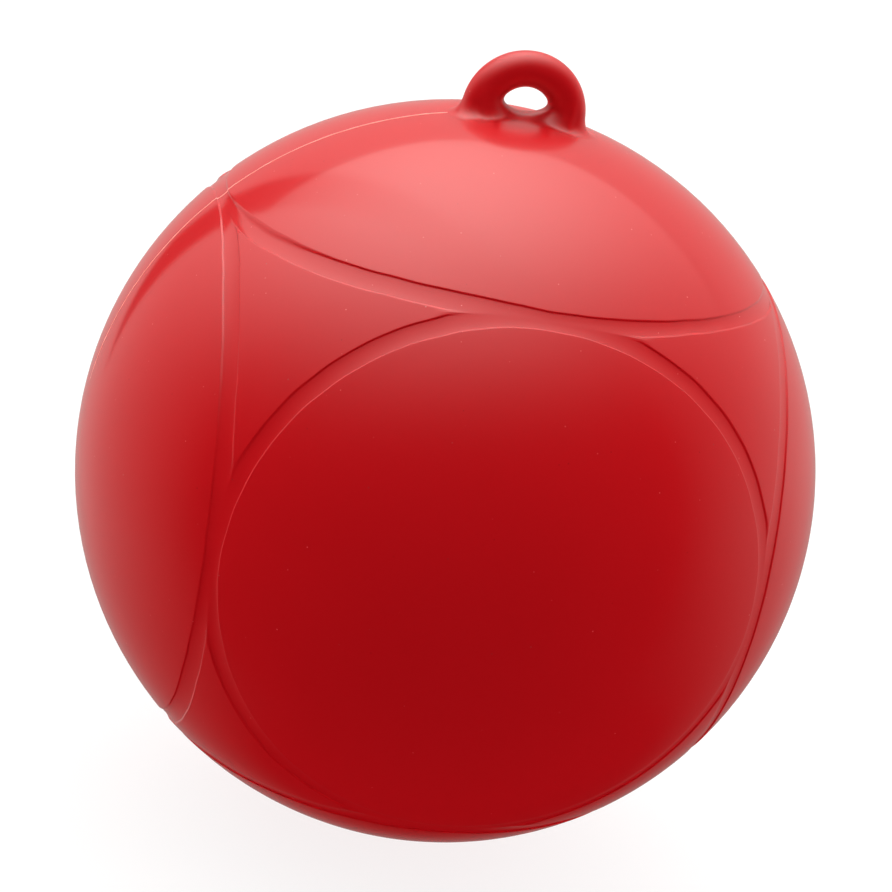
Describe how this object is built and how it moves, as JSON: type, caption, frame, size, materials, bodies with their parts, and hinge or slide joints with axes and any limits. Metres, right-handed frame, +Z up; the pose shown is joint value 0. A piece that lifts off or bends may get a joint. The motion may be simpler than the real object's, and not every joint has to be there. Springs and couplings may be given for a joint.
{
  "type": "inflatable ball marker buoy",
  "caption": "Hollow soft-vinyl ball buoy that marks a course on water: round raised panels parted by shallow channels, a loop for rope on top and a needle air valve below.",
  "frame": {"origin": "on the ball's axis at the water level where it floats free, 43.8 mm above the ball's lowest point", "axes": "+Z up through the rope eye as in the picture, -Y toward the panel that faces the camera, X in the plane of the rope loop and of the mould's parting line"},
  "size_m": [0.2286, 0.2286, 0.2489],
  "materials": {
    "red_vinyl": "glossy moulded soft vinyl, coloured through",
    "valve_rubber": "matt moulded rubber"
  },
  "bodies": {
    "root": {"ball_skin": "red_vinyl", "rope_eye": "red_vinyl", "valve_plug": "valve_rubber"}
  },
  "joints": []
}
